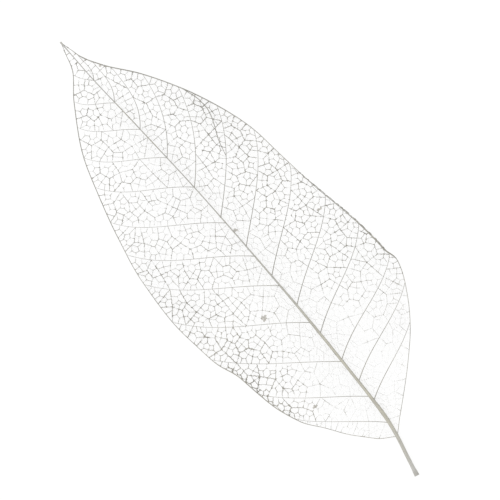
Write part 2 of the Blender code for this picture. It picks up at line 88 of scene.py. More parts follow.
# Where the edge has rolled up while drying, as a share of the full roll.
ROLL = {
    1: [(0, 0), (0.25, 0), (0.30, 1), (0.45, 1), (0.56, 0.6), (0.68, 0), (1, 0)],
    -1: [(0, 0), (0.06, 0), (0.18, 0.65), (0.28, 0.8), (0.36, 0), (1, 0)],
}

# Side veins: the share of the blade where each leaves the midrib, how far on towards the
# tip it meets the edge, and the angle, in degrees, at which it leaves. The first cross
# veins follow each other along it at about RIB_SPACING.
SIDE_VEIN_STARTS = {
    1: [0.082, 0.129, 0.182, 0.248, 0.319, 0.394, 0.470, 0.545, 0.622, 0.700, 0.776,
        0.848, 0.906],
    -1: [0.030, 0.093, 0.179, 0.276, 0.369, 0.445, 0.530, 0.623, 0.700, 0.775, 0.845,
         0.905],
}
SIDE_VEIN_REACH = {
    1: [(0, 0.05), (0.05, 0.062), (0.10, 0.084), (0.17, 0.106), (0.25, 0.128), (0.35, 0.145),
        (0.60, 0.165), (0.75, 0.135), (0.90, 0.060), (1, 0.03)],
    -1: [(0, 0.11), (0.09, 0.15), (0.20, 0.17), (0.32, 0.178), (0.45, 0.167), (0.62, 0.13),
         (0.78, 0.085), (0.90, 0.035), (1, 0.02)],
}
SIDE_VEIN_ANGLE = {
    1: [(0, 57), (0.20, 54), (0.35, 51), (0.60, 49), (1, 44)],
    -1: [(0, 50), (0.20, 50), (0.35, 47), (0.60, 45), (1, 42)],
}
SIDE_VEIN_STEPS = 10
RIB_SPACING = 9.5

# Stations on the edge: the first few, where the even ones begin and their step, as shares
# of the blade, and the least distance from a side vein's end.
EDGE_STATIONS_AT_BASE = [0.0045, 0.012, 0.026]
EVEN_FROM, EDGE_STEP = 0.05, 0.026
CLEAR_OF_END = 0.5

# The shares of its reach that a side vein runs straight at its two ends, how far it turns
# along the edge there, how far the first cross veins on it are staggered, and the share
# of that on the side vein above and their slant.
RUN_FROM_MIDRIB, RUN_TO_EDGE = 0.38, 0.34
ALONG_EDGE = 0.3
STAGGER, STAGGER_ABOVE, SLANT = 0.22, 0.6, 0.05

SHORTEST_STRUT = 0.85

# The blade is taken as at least this half width when it is laid, and points are laid up
# to this share of it; BIT is a small step along the blade, to read a direction from.
NARROWEST, FURTHEST_OUT, BIT = 0.3, 1.15, 0.01
ARCH_LEAN = 0.85

# Drawing the cells: tries at a split, rounds that even its parts out, and the share of
# the way that a corner moves towards its neighbours in each round of easing.
SPLIT_TRIES, EVENING_ROUNDS = 8, 5
PULL, EASING_ROUNDS = 0.4, 3

# The ranks of the veins, strongest first. The part's source ends with the cross veins.
MIDRIB, SIDE_VEIN, EDGE, CROSS_VEIN, SMALL_VEIN, FINE_VEIN, NO_VEIN = 1, 2, 3, 4, 5, 6, 7

# From here on the values are the scene's own. The rolled edge is a tighter roll than the
# solid's, inside the same outline.
ROLL_WIDTH = 3.0
ROLL_ANGLE = math.radians(130)

# Setting a strut's sides in from its vein: where a corner counts as straight, the longest
# mitre in strut depths, the least turn left to a side, and how a tight corner gives way.
NEARLY_STRAIGHT, LONGEST_MITRE, LEAST_TURN = 0.2, 2.4, 0.04
TIGHT_ROUNDS, GIVES_WAY = 12, 0.7

# The finer generations: rank, area of a cell in mm2, shortest vein in mm, the seed of the
# draw and the rounds that even the cells out. Each is eased for FINER_EASING rounds.
FINER_VEINS = [(SMALL_VEIN, 2.6, 0.3, 21, 4), (FINE_VEIN, 0.32, 0.10, 22, 2)]
FINER_EASING = 2

# The usual width of each rank's struts, in millimetres, and the factors on it: share of the
# way along the blade, then the factor. The first table is for the middle of a half, the
# next two are for beside the midrib and at the edge, and what the last one holds is added
# where the edge rolls.
VEIN_WIDTH = {MIDRIB: 0.08, SIDE_VEIN: 0.08, EDGE: 0.10, CROSS_VEIN: 0.225, SMALL_VEIN: 0.149,
              FINE_VEIN: 0.024}
NET_STRENGTH = {
    1: [(0, 0.36), (0.12, 0.36), (0.2, 0.50), (0.3, 0.86), (0.45, 1.00), (0.6, 1.16),
        (0.75, 1.00), (0.88, 1.05), (0.95, 1.35)],
    -1: [(0, 0.46), (0.12, 0.46), (0.2, 0.70), (0.32, 0.98), (0.45, 0.95), (0.60, 0.79),
         (0.82, 0.90), (0.90, 1.15), (0.95, 1.6)],
}
NEAR_MIDRIB_STRENGTH = {
    1: [(0, 0.34), (0.30, 0.32), (0.58, 0.42), (0.70, 0.68), (0.82, 0.72), (0.90, 0.70),
        (0.95, 0.5)],
    -1: [(0, 0.34), (0.38, 0.34), (0.46, 0.78), (0.64, 0.80), (0.70, 0.68), (0.88, 0.80),
         (0.95, 1.3)],
}
MARGIN_STRENGTH = {
    1: [(0, 1.35), (0.22, 1.35), (0.28, 1.1), (0.34, 1.2), (0.42, 1.35), (0.88, 1.35),
        (0.94, 2.0), (1, 2.0)],
    -1: [(0, 1.35), (0.08, 1.4), (0.16, 2.2), (0.28, 2.2), (0.40, 1.4), (0.72, 1.4),
         (0.80, 1.1), (0.90, 1.2), (1, 1.3)],
}
ROLLED_STRENGTH = {
    1: [(0.25, 0), (0.29, 0.55), (0.36, 0), (0.40, -0.42), (0.47, -0.45), (0.60, 0)],
    -1: [(0.12, 0), (0.20, 0.6), (0.28, 0.3), (0.36, 0)],
}

# Between the midrib (0) and the edge (1): the places where the factor beside the midrib,
# none, part of the edge's and the whole of the edge's hold. That part is EDGE_LEAD times
# what the edge has over PLAIN_EDGE.
STRENGTH_PLACES = (0, 0.5, 0.75, 1)
EDGE_LEAD, PLAIN_EDGE = 0.75, 1.3

# Patches of stronger and weaker veins: how much they differ, how many there are to a
# millimetre, and their contrast. Single struts differ too, by a seeded draw.
MOTTLE, MOTTLE_SCALE, MOTTLE_CONTRAST = 0.24, 0.45, 1.6
WIDTH_VARIETY = (0.74, 1.32)
WIDTH_DRAW = 7

# The net is made in four pieces, parted at the midrib and at this height.
PIECE_SEAM = 60.0

# Round veins: share of the way along, then the radius in millimetres. The side veins of
# each half have a factor, and those that reach less far out than LONG_REACH are slimmer,
# down to SHORT_SLIM.
SIDE_VEIN_RADIUS = [(0, 0.13), (0.15, 0.11), (0.5, 0.085), (1, 0.06)]
SIDE_VEIN_SLIM = {1: 0.92, -1: 0.66}
LONG_REACH, SHORT_SLIM = 24, 0.75

# One side vein forks before the edge: flat points of the branch that arches forward to it,
# and its radii.
BRANCH = [(11.6, 83.9), (12.9, 88.0), (14.7, 91.5), (15.9, 94.2), (16.45, 96.8), (16.4, 99.2),
          (15.9, 101.6), (15.3, 103.8)]
BRANCH_RADIUS = [(0, 0.07), (0.25, 0.11), (0.75, 0.11), (1, 0.08)]

# The points of the edge veins crowd towards the base, and from CLOSING_FROM on the veins
# close in on the tip, to CLOSED of the half width.
EDGE_CROWDING = 1.4
CLOSING_FROM, CLOSED = 0.975, 0.3
EDGE_VEIN_RADIUS = {
    1: [(0, 0.08), (0.26, 0.085), (0.285, 0.20), (0.33, 0.19), (0.38, 0.14), (0.43, 0.09),
        (0.55, 0.09), (0.70, 0.14), (0.94, 0.16), (0.98, 0.09), (1, 0.07)],
    -1: [(0, 0.08), (0.10, 0.085), (0.18, 0.13), (0.30, 0.14), (0.38, 0.09), (0.55, 0.09),
         (0.70, 0.12), (0.94, 0.13), (0.98, 0.08), (1, 0.07)],
}

# The midrib is thick at the stalk's cut end, which flares up to FLARE_END, and the veins
# that meet in it widen it at the tip, where it ends just over the edge.
MIDRIB_RADIUS = [
    (-0.083, 0.66), (-0.077, 0.63), (-0.062, 0.50), (0, 0.47), (0.05, 0.50), (0.12, 0.385),
    (0.20, 0.365), (0.32, 0.30), (0.42, 0.205), (0.52, 0.16), (0.62, 0.145), (0.80, 0.145),
    (0.96, 0.12), (0.985, 0.16), (1, 0.25)]
FLARE_END, OVER_TIP = -0.06, 1.002

# Ribs along the midrib: depth as a share of its radius, how many there are round it, and
# their twist in radians to a millimetre.
MIDRIB_RIBS = [(0.05, 5, 0.11), (0.035, 9, -0.07), (0.02, 3, 0.9)]

# Steps or points along the round veins, and the sides of their tubes.
SIDE_VEIN_TUBE_STEPS, BRANCH_POINTS, SIDE_VEIN_SIDES = 36, 48, 8
EDGE_VEIN_POINTS, EDGE_VEIN_SIDES = 260, 6
FLARE_POINTS, MIDRIB_POINTS, MIDRIB_SIDES = 24, 320, 24

# On the texture: its free margin, and the gaps in millimetres between a tube and its ends
# and from tube to tube.
TEXTURE_MARGIN = 0.02
END_GAP, TUBE_GAP = 0.3, 0.5

# Flecks of dried tissue: side, share along, millimetres from the midrib, and size. Their
# half thickness varies about the first value by up to the second.
FLECKS = [(-1, 0.341, 8.6, 0.85), (-1, 0.146, 12.9, 0.6), (1, 0.431, 20.6, 0.55),
          (1, 0.918, 4.0, 0.45), (1, 0.508, 0.6, 0.5)]
FLECK_HALF_THICKNESS, FLECK_UNEVENNESS = 0.021, 0.018

# Tints from the end of the stalk to the tip.
NET_TINTS = [(0, (0.41, 0.39, 0.33)), (0.38, (0.385, 0.37, 0.325)), (0.77, (0.37, 0.36, 0.33))]
RIB_TINTS = [(0, (0.36, 0.35, 0.325)), (0.012, (0.47, 0.465, 0.44)), (0.07, (0.49, 0.48, 0.43)),
             (0.12, (0.50, 0.48, 0.395)), (0.30, (0.51, 0.495, 0.42)), (0.43, (0.46, 0.455, 0.43)),
             (0.80, (0.43, 0.425, 0.41)), (0.985, (0.46, 0.455, 0.44))]

# The net with its side and edge veins, and the midrib: tints, the tint of the darker
# patches, which also sets the painted shade in the furrows between fibres, roughness,
# fibres to a metre across, along and in depth, and the depth of their relief in metres.
NET_LOOK = (NET_TINTS, (0.27, 0.26, 0.23), 0.75, (2500, 2500, 2500), 0.00001)
RIB_LOOK = (RIB_TINTS, (0.43, 0.415, 0.365), 0.65, (6500, 420, 6500), 0.00004)

# Darker patches to a metre. The stops say from which value of their noise the patches come
# in, and up to which value of the fibres' noise the painted shade in the furrows between
# fibres shows.
PATCHES = (130, 130, 130)
PATCH_STOPS = [(0.38, (0, 0, 0)), (0.70, (1, 1, 1))]
PAINTED_FURROW_SHADE_STOPS = [(0.28, (0.75, 0.75, 0.75)), (0.50, (0, 0, 0))]
# The painted shade in the furrows between fibres: this share of the darker tint.
PAINTED_FURROW_SHADE = 0.72

# The flecks: tints over the noise of their grain, grains to a metre, roughness and relief.
FLECK_TINTS = [(0.3, (0.41, 0.395, 0.365)), (0.7, (0.61, 0.59, 0.55))]
FLECK_GRAINS = (900, 900, 900)
FLECK_ROUGHNESS, FLECK_DEPTH = 0.8, 0.00008

# How far roughness goes up and down over this range of its noise, and the bump's strength.
NOISE_RANGE, ROUGHNESS_SPREAD = (0.3, 0.7), 0.12
BUMP_STRENGTH = 0.7

# The white floor, the soft round light and the camera, in metres, watts, degrees and, for
# the lens and the sensor, millimetres.
WHITE = (1, 1, 1, 1)
FLOOR_SIZE, FLOOR_GREY, FLOOR_GLOW, FLOOR_ROUGHNESS = 3, (0.22, 0.22, 0.22, 1), 0.79, 0.9
LIGHT_SIZE, LIGHT_POWER = 0.9, 2.6
LIGHT_PLACE, LIGHT_TILT = (-0.35, 0.45, 0.9), (-32, -18, 0)
VIEW_WIDTH, CAMERA_TURN = 0.130, -40.6
LENS, SENSOR = 220.0, 36.0


def curve_through(table, at):
    """Values on a smooth curve through (place, value) pairs that never overshoots them."""
    place, value = np.array(table, float).T
    step = np.diff(place)
    slope = np.diff(value) / step
    product = slope[:-1] * slope[1:]
    total = slope[:-1] + slope[1:]
    inner = np.where(product > 0, 2 * product / np.where(total == 0, 1, total), 0)
    lean = np.concatenate([slope[:1], inner, slope[-1:]])
    at = np.clip(np.asarray(at, float), place[0], place[-1])
    k = np.clip(np.searchsorted(place, at, side="right") - 1, 0, len(step) - 1)
    t = (at - place[k]) / step[k]
    return (
        value[k] * (1 + 2 * t) * (1 - t) ** 2
        + value[k + 1] * t * t * (3 - 2 * t)
        + step[k] * lean[k] * t * (1 - t) ** 2
        - step[k] * lean[k + 1] * t * t * (1 - t)
    )


def half_width(side, v):
    return curve_through(HALF_WIDTH[side], v / BLADE_LENGTH)


def lay(flat):
    """The flat points (u, v) as points of the lying leaf, in millimetres."""
    flat = np.asarray(flat, float).reshape(-1, 2)
    laid = np.zeros((len(flat), 3))
    for side in (1, -1):
        mine = flat[:, 0] * side >= 0
        across, v = np.abs(flat[mine, 0]), flat[mine, 1]
        share = v / BLADE_LENGTH
        width = np.maximum(half_width(side, v), NARROWEST)
        out = np.minimum(across / width, FURTHEST_OUT)
        spine = curve_through(MIDRIB_HEIGHT, share)
        edge = curve_through(EDGE_HEIGHT[side], share)
        arch = curve_through(ARCH_HEIGHT[side], share)
        height = spine + (edge - spine) * out**2
        height += arch * np.sin(math.pi * np.clip(out, 0, 1) ** ARCH_LEAN)

        past = np.maximum(across - (width - ROLL_WIDTH), 0)
        bend = np.maximum(curve_through(ROLL[side], share) * ROLL_ANGLE / ROLL_WIDTH, 1e-6)
        across = across - past + np.sin(bend * past) / bend
        height = height + (1 - np.cos(bend * past)) / bend

        lean = np.arctan2(
            curve_through(MIDRIB_BOW, share + BIT) - curve_through(MIDRIB_BOW, share - BIT),
            2 * BIT * BLADE_LENGTH,
        )
        laid[mine, 0] = curve_through(MIDRIB_BOW, share) + side * across * np.cos(lean) - CENTRE[0]
        laid[mine, 1] = v - side * across * np.sin(lean) - CENTRE[1]
        laid[mine, 2] = height
    return laid


def side_vein(side, start, steps=SIDE_VEIN_STEPS):
    """Points of one side vein on the flat blade, from the midrib out to the edge."""
    v0 = start * BLADE_LENGTH
    v1 = v0 + float(curve_through(SIDE_VEIN_REACH[side], start)) * BLADE_LENGTH
    u1 = float(half_width(side, v1))
    reach = math.hypot(u1, v1 - v0)
    ahead = float(half_width(side, v1 + 1)) - u1
    near_edge = math.atan2(u1, v1 - v0) * (1 - ALONG_EDGE) + math.atan2(ahead, 1) * ALONG_EDGE
    leaving = math.radians(float(curve_through(SIDE_VEIN_ANGLE[side], start)))
    out, back = reach * RUN_FROM_MIDRIB, reach * RUN_TO_EDGE
    bends = [
        (0, v0),
        (math.sin(leaving) * out, v0 + math.cos(leaving) * out),
        (u1 - math.sin(near_edge) * back, v1 - math.cos(near_edge) * back),
        (u1, v1),
    ]
    points = []
    for k in range(steps + 1):
        t = k / steps
        shares = ((1 - t) ** 3, 3 * t * (1 - t) ** 2, 3 * t * t * (1 - t), t**3)
        u = sum(s * b[0] for s, b in zip(shares, bends))
        v = sum(s * b[1] for s, b in zip(shares, bends))
        points.append((side * u, v))
    return points


def edge_run(side, v0, v1):
    """Points of the blade's edge between two heights, ends included."""
    stations = [v0]
    for share in [*EDGE_STATIONS_AT_BASE, *np.arange(EVEN_FROM, 1, EDGE_STEP)]:
        if v0 + CLEAR_OF_END < share * BLADE_LENGTH < v1 - CLEAR_OF_END:
            stations.append(float(share * BLADE_LENGTH))
    stations.append(v1)
    return [(side * float(half_width(side, v)), v) for v in stations]


class Veins:
    """The straight lines that cells share, each with its rank among the veins."""

    def __init__(self):
        self.ranks = []
        self.named = {}

    def line(self, rank, name=None):
        if name is None or name not in self.named:
            self.ranks.append(rank)
            if name is None:
                return len(self.ranks) - 1
            self.named[name] = len(self.ranks) - 1
        return self.named[name]


def run_between(veins, points, name, rank, begin, end):
    """The stretch of a polyline between two places on it, counted in its steps.

    Each corner comes with the line that runs on from it.
    """
    def at(place):
        k = min(int(place), len(points) - 2)
        t = place - k
        (u0, v0), (u1, v1) = points[k], points[k + 1]
        return (u0 + (u1 - u0) * t, v0 + (v1 - v0) * t)

    corners = [begin]
    corners += [k for k in range(len(points)) if begin + 1e-6 < k < end - 1e-6]
    corners.append(end)
    return [
        (at(a), veins.line(rank, (name, min(int((a + b) / 2), len(points) - 2))))
        for a, b in zip(corners, corners[1:])
    ], at(end)


def backwards(run, last):
    """The same stretch walked the other way round."""
    points = [point for point, _ in run] + [last]
    lines = [line for _, line in run]
    return list(zip(points[:0:-1], lines[::-1])), points[0]


def blocks_of(side, draw):
    """The cells between neighbouring side veins, before their cross veins are drawn."""
    veins, blocks = draw
    starts = SIDE_VEIN_STARTS[side]
    ribs = [side_vein(side, start) for start in starts]
    midrib = veins.line(MIDRIB, "midrib")
    tip = (0.0, BLADE_LENGTH)

    def outer(v0, v1):
        points = edge_run(side, v0, v1)
        names = [(side, round(a[1], 4)) for a in points[:-1]]
        return [(p, veins.line(EDGE, n)) for p, n in zip(points, names)], points[-1]

    whole = float(SIDE_VEIN_STEPS)
    for k, rib in enumerate(ribs[:-1]):
        above = ribs[k + 1]
        length = math.dist(rib[0], rib[-1])
        count = max(1, round(length / RIB_SPACING))
        shift = STAGGER * (-1) ** k
        lows = [whole * (j + shift) / count for j in range(1, count)]
        highs = [whole * (j + shift * STAGGER_ABOVE + SLANT) / count for j in range(1, count)]
        lows, highs = [0.0, *lows, whole], [0.0, *highs, whole]
        for j in range(count):
            low, low_end = run_between(veins, rib, (side, k), SIDE_VEIN, lows[j], lows[j + 1])
            high, high_end = run_between(
                veins, above, (side, k + 1), SIDE_VEIN, highs[j], highs[j + 1]
            )
            back, back_end = backwards(high, high_end)
            block = list(low)
            if j == count - 1:
                border, _ = outer(rib[-1][1], above[-1][1])
                block += border
            else:
                block.append((low_end, veins.line(CROSS_VEIN, (side, k, j + 1))))
            block += back
            if j == 0:
                block.append((back_end, midrib))
            else:
                block.append((back_end, veins.line(CROSS_VEIN, (side, k, j))))
            blocks.append(block)

    border, _ = outer(0.0, ribs[0][-1][1])
    low, low_end = run_between(veins, ribs[0], (side, 0), SIDE_VEIN, 0.0, whole)
    back, back_end = backwards(low, low_end)
    blocks.append([*border, *back, (back_end, midrib)])

    last = len(ribs) - 1
    high, _ = run_between(veins, ribs[last], (side, last), SIDE_VEIN, 0.0, whole)
    border, border_end = outer(ribs[last][-1][1], BLADE_LENGTH)
    across = veins.line(EDGE, (side, "tip"))
    blocks.append([*high, *border, (border_end, across), (tip, midrib)])


def cut(cell, middle, away, line):
    """The part of a cell that lies behind a line. None where the line cuts it into more."""
    kept, cuts = [], 0
    behind = [
        (p[0] - middle[0]) * away[0] + (p[1] - middle[1]) * away[1] for p, _ in cell
    ]
    for k, (point, edge) in enumerate(cell):
        here, there = behind[k], behind[(k + 1) % len(cell)]
        following = cell[(k + 1) % len(cell)][0]
        if here <= 0:
            kept.append((point, edge))
        if (here <= 0) != (there <= 0):
            t = here / (here - there)
            crossing = (
                point[0] + (following[0] - point[0]) * t,
                point[1] + (following[1] - point[1]) * t,
            )
            leaves = here <= 0
            kept.append((crossing, line if leaves else edge))
            cuts += leaves
    return kept if cuts <= 1 else None


def area_and_centre(points):
    """The area of a ring of points, positive where it runs anticlockwise, and its centre."""
    area = u = v = 0.0
    for (u0, v0), (u1, v1) in zip(points, points[1:] + points[:1]):
        cross = u0 * v1 - u1 * v0
        area += cross
        u += (u0 + u1) * cross
        v += (v0 + v1) * cross
    if abs(area) < 1e-9:
        return 0.0, points[0]
    return area / 2, (u / (3 * area), v / (3 * area))


def holds(points, u, v):
    """Whether a ring of points has the point (u, v) inside it."""
    inside = False
    for (u0, v0), (u1, v1) in zip(points, points[1:] + points[:1]):
        if (v0 > v) != (v1 > v) and u < (u1 - u0) * (v - v0) / (v1 - v0) + u0:
            inside = not inside
    return inside


def cells_around(cell, seeds, line_of):
    """Each seed's share of a cell: the points nearer to it than to any other seed."""
    shares = []
    for i, seed in enumerate(seeds):
        share = cell
        order = sorted(
            (j for j in range(len(seeds)) if j != i),
            key=lambda j: math.dist(seed, seeds[j]),
        )
        for j in order:
            other = seeds[j]
            middle = ((seed[0] + other[0]) / 2, (seed[1] + other[1]) / 2)
            away = (other[0] - seed[0], other[1] - seed[1])
            share = cut(share, middle, away, line_of(i, j))
            if share is None or len(share) < 3:
                return None
        shares.append(share)
    return shares


def split(cell, veins, rank, cell_area, chance, rounds=EVENING_ROUNDS):
    """A cell cut into rounded smaller ones by new veins of the given rank."""
    points = [point for point, _ in cell]
    area, _ = area_and_centre(points)
    count = round(abs(area) / cell_area)
    if count < 2:
        return [cell]
    us, vs = [p[0] for p in points], [p[1] for p in points]
    for _ in range(SPLIT_TRIES):
        seeds = []
        while len(seeds) < count:
            u, v = chance.uniform(min(us), max(us)), chance.uniform(min(vs), max(vs))
            if holds(points, u, v):
                seeds.append((u, v))
        shares = None
        for _ in range(rounds):
            shares = cells_around(cell, seeds, lambda i, j: -1)
            if shares is None:
                break
            seeds = [area_and_centre([p for p, _ in share])[1] for share in shares]
        if shares is None:
            continue
        lines = {}

        def line_of(i, j):
            pair = (min(i, j), max(i, j))
            if pair not in lines:
                lines[pair] = veins.line(rank)
            return lines[pair]

        shares = cells_around(cell, seeds, line_of)
        if shares is not None:
            return shares
    return [cell]


def joined(cells, veins):
    """Corners numbered once for all the cells, with each other's corners let in.

    Returns the corners, the cells as rings of corner numbers, and each edge's rank.
    """
    number, corners = {}, []

    def index(point):
        key = (round(point[0], 4), round(point[1], 4))
        if key not in number:
            number[key] = len(corners)
            corners.append(point)
        return number[key]

    rings, on_line = [], {}
    for cell in cells:
        ring = [(index(point), line) for point, line in cell]
        ring = [r for k, r in enumerate(ring) if r[0] != ring[(k + 1) % len(ring)][0]]
        rings.append(ring)
        for k, (corner, line) in enumerate(ring):
            on_line.setdefault(line, set()).update((corner, ring[(k + 1) % len(ring)][0]))

    faces, ranks = [], {}
    for ring in rings:
        face = []
        for k, (corner, line) in enumerate(ring):
            following = ring[(k + 1) % len(ring)][0]
            (u0, v0), (u1, v1) = corners[corner], corners[following]
            length = (u1 - u0) ** 2 + (v1 - v0) ** 2
            between = []
            for other in on_line[line]:
                u, v = corners[other]
                t = ((u - u0) * (u1 - u0) + (v - v0) * (v1 - v0)) / length
                if 0 < t < 1 and other not in (corner, following):
                    between.append((t, other))
            steps = [corner, *(other for _, other in sorted(between)), following]
            for a, b in zip(steps, steps[1:]):
                ranks[frozenset((a, b))] = veins.ranks[line]
            face += steps[:-1]
        faces.append(face)
    return corners, faces, ranks


def corner_ranks(corners, ranks):
    """The rank of the strongest vein at each corner."""
    strongest = [NO_VEIN] * len(corners)
    for edge, rank in ranks.items():
        for corner in edge:
            strongest[corner] = min(strongest[corner], rank)
    return strongest


def without_short_struts(corners, faces, ranks, shortest):
    """Corners closer than the shortest strut are made one, on the stronger vein."""
    strongest = corner_ranks(corners, ranks)
    stands_for = list(range(len(corners)))

    def find(corner):
        while stands_for[corner] != corner:
            corner = stands_for[corner]
        return corner

    def length(edge):
        return math.dist(corners[edge[0]], corners[edge[1]])

    for a, b in sorted((sorted(edge) for edge in ranks), key=length):
        a, b = find(a), find(b)
        if a == b or math.dist(corners[a], corners[b]) > shortest:
            continue
        if strongest[b] < strongest[a]:
            a, b = b, a
        if strongest[a] == strongest[b] == EDGE:
            continue
        stands_for[b] = a
    kept, kept_ranks = [], {}
    for face in faces:
        ring = [find(corner) for corner in face]
        ring = [c for k, c in enumerate(ring) if c != ring[(k + 1) % len(ring)]]
        if len(ring) >= 3 and len(set(ring)) == len(ring):
            kept.append(ring)
    for edge, rank in ranks.items():
        a, b = (find(corner) for corner in edge)
        if a != b:
            pair = frozenset((a, b))
            kept_ranks[pair] = min(rank, kept_ranks.get(pair, rank))
    return kept, kept_ranks


def relaxed(corners, ranks, rank, rounds=EASING_ROUNDS):
    """Corners on veins of this rank or weaker, pulled towards their neighbours."""
    strongest = corner_ranks(corners, ranks)
    corners = list(corners)
    for _ in range(rounds):
        pull = {}
        for edge in ranks:
            a, b = edge
            for mine, other in ((a, b), (b, a)):
                if strongest[mine] >= rank:
                    pull.setdefault(mine, []).append(corners[other])
        for corner, others in pull.items():
            u, v = corners[corner]
            mean_u = sum(p[0] for p in others) / len(others)
            mean_v = sum(p[1] for p in others) / len(others)
            corners[corner] = (u + PULL * (mean_u - u), v + PULL * (mean_v - v))
    return corners


def part_cells():
    """The cells of the part's own net: corners, rings of corners, edge ranks."""
    veins, blocks = Veins(), []
    for side in (1, -1):
        blocks_of(side, (veins, blocks))
    chance = random.Random(DRAW)
    cells = []
    for block in blocks:
        cells += split(block, veins, CROSS_VEIN, CELL_AREA, chance)
    corners, faces, ranks = joined(cells, veins)
    faces, ranks = without_short_struts(corners, faces, ranks, SHORTEST_STRUT)
    corners = relaxed(corners, ranks, CROSS_VEIN)
    return corners, faces, ranks


def finer(net, rank, cell_area, shortest, seed, rounds):
    """The net with new veins of the given rank grown into every cell."""
    corners, faces, ranks = net
    veins = Veins()
    cells = []
    chance = random.Random(seed)
    for face in faces:
        cell = []
        for k, corner in enumerate(face):
            edge = frozenset((corner, face[(k + 1) % len(face)]))
            cell.append((corners[corner], veins.line(ranks[edge], edge)))
        cells += split(cell, veins, rank, cell_area, chance, rounds)
    corners, faces, ranks = joined(cells, veins)
    faces, ranks = without_short_struts(corners, faces, ranks, shortest)
    return relaxed(corners, ranks, rank, FINER_EASING), faces, ranks


def upward(ring, corners):
    """The ring of corner numbers, walked so that its face looks up."""
    area, _ = area_and_centre([corners[c] for c in ring])
    return ring if area > 0 else ring[::-1]


def middle_of(ring, corners):
    u = sum(corners[c][0] for c in ring) / len(ring)
    v = sum(corners[c][1] for c in ring) / len(ring)
    return u, v


def edges_of(ring):
    """The edges of a ring, each as the pair of corners that it is walked between."""
    return list(zip(ring, ring[1:] + ring[:1]))


def numbered(rings, corners):
    """Each corner's number in a piece made of these rings, and their flat points."""
    used = sorted({c for ring in rings for c in ring})
    return {c: k for k, c in enumerate(used)}, [corners[c] for c in used]


def inset(points, depths):
    """The ring moved inwards from each of its edges, kept free of crossings."""
    count = len(points)
    moves = []
    for k in range(count):
        before, here, after = points[k - 1], points[k], points[(k + 1) % count]
        sides = []
        for (u0, v0), (u1, v1) in ((before, here), (here, after)):
            length = math.hypot(u1 - u0, v1 - v0)
            sides.append((-(v1 - v0) / length, (u1 - u0) / length))
        (a0, b0), (a1, b1) = sides
        deep0, deep1 = depths[k - 1], depths[k]
        turn = a0 * b1 - b0 * a1
        if abs(turn) < NEARLY_STRAIGHT:
            deep = max(deep0, deep1)
            move = ((a0 + a1) / 2 * deep, (b0 + b1) / 2 * deep)
        else:
            move = ((deep0 * b1 - deep1 * b0) / turn, (a0 * deep1 - a1 * deep0) / turn)
        length, most = math.hypot(*move), LONGEST_MITRE * max(deep0, deep1)
        if length > most:
            move = (move[0] * most / length, move[1] * most / length)
        moves.append(move)

    def turned(a, b, c):
        return (b[0] - a[0]) * (c[1] - a[1]) - (b[1] - a[1]) * (c[0] - a[0])

    share = [1.0] * count
    for _ in range(TIGHT_ROUNDS):
        moved = [
            (p[0] + s * m[0], p[1] + s * m[1]) for p, m, s in zip(points, moves, share)
        ]
        tight = set()
        for k in range(count):
            n = (k + 1) % count
            least = LEAST_TURN * math.dist(points[k], points[n]) * min(share[k], share[n])
            if turned(points[k], points[n], moved[n]) < least:
                tight.add(n)
            if turned(points[k], points[n], moved[k]) < least:
                tight.add(k)
            from_k = turned(points[k], moved[n], moved[k])
            from_n = turned(points[n], moved[n], moved[k])
            if min(from_k, from_n) < least:
                tight.update((k, n))
        if not tight:
            break
        for k in tight:
            share[k] *= GIVES_WAY
    return moved


def facing(flat):
    """The direction that the upper face of the lying leaf looks in, at flat points."""
    flat = np.asarray(flat, float)
    step = 0.05
    inward = np.where(flat[:, 0] > 0, -step, step)
    across = lay(flat + np.stack([inward, 0 * inward], 1)) - lay(flat)
    across *= np.sign(inward)[:, None]
    along = lay(flat + [0, step]) - lay(flat - [0, step])
    normal = np.cross(across, along)
    return normal / np.linalg.norm(normal, axis=1)[:, None]


def piece(name, points, faces, places, material, smooth=False):
    """A mesh piece of the leaf. places gives each face corner's place on the texture."""
    points = np.asarray(points, float) * MM
    points[:, 2] = np.maximum(points[:, 2], 0)
    mesh = bpy.data.meshes.new(name)
    mesh.from_pydata(points.tolist(), [], faces)
    places = np.asarray(places, float)
    low, high = places.min(0), places.max(0)
    places = TEXTURE_MARGIN + (1 - 2 * TEXTURE_MARGIN) * (places - low) / (high - low)
    layer = mesh.uv_layers.new(name="OFBake")
    layer.data.foreach_set("uv", places.astype(np.float32).ravel())
    if smooth:
        mesh.polygons.foreach_set("use_smooth", [True] * len(mesh.polygons))
    mesh.materials.append(material)
    made = bpy.data.objects.new(name, mesh)
    bpy.context.scene.collection.objects.link(made)
    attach(made, "root")
    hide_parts("skeleton_leaf")
    return made


def at_corners(faces, places):
    """Each point's place, given once for every face corner that it is in."""
    return np.asarray(places, float)[[corner for face in faces for corner in face]]


def factor_at(share, table):
    """What a table of (share, factor) pairs holds at a share, on straight lines."""
    return float(np.interp(share, *zip(*table)))


def strut_widths(corners, ranks):
    """The width of each strut of the net, by its edge."""
    chance = random.Random(WIDTH_DRAW)
    width = {}
    for edge in sorted(ranks, key=sorted):
        a, b = edge
        v = (corners[a][1] + corners[b][1]) / 2
        u = corners[a][0] + corners[b][0]
        side, share = (1 if u > 0 else -1), v / BLADE_LENGTH
        strength = factor_at(share, NET_STRENGTH[side])
        near = factor_at(share, NEAR_MIDRIB_STRENGTH[side])
        margin = factor_at(share, MARGIN_STRENGTH[side])
        strengths = (near, 1, 1 + EDGE_LEAD * (margin - PLAIN_EDGE), margin)
        out = abs(u) / 2 / half_width(side, v)
        strength *= float(np.interp(out, STRENGTH_PLACES, strengths))
        if half_width(side, v) - abs(u) / 2 < ROLL_WIDTH:
            strength *= 1 + factor_at(share, ROLLED_STRENGTH[side])
        mottle = noise.noise((u * MOTTLE_SCALE / 2, v * MOTTLE_SCALE, 0.0))
        strength *= 1 + MOTTLE * max(-1.0, min(1.0, MOTTLE_CONTRAST * mottle))
        width[edge] = VEIN_WIDTH[ranks[edge]] * strength * chance.uniform(*WIDTH_VARIETY)
    return width


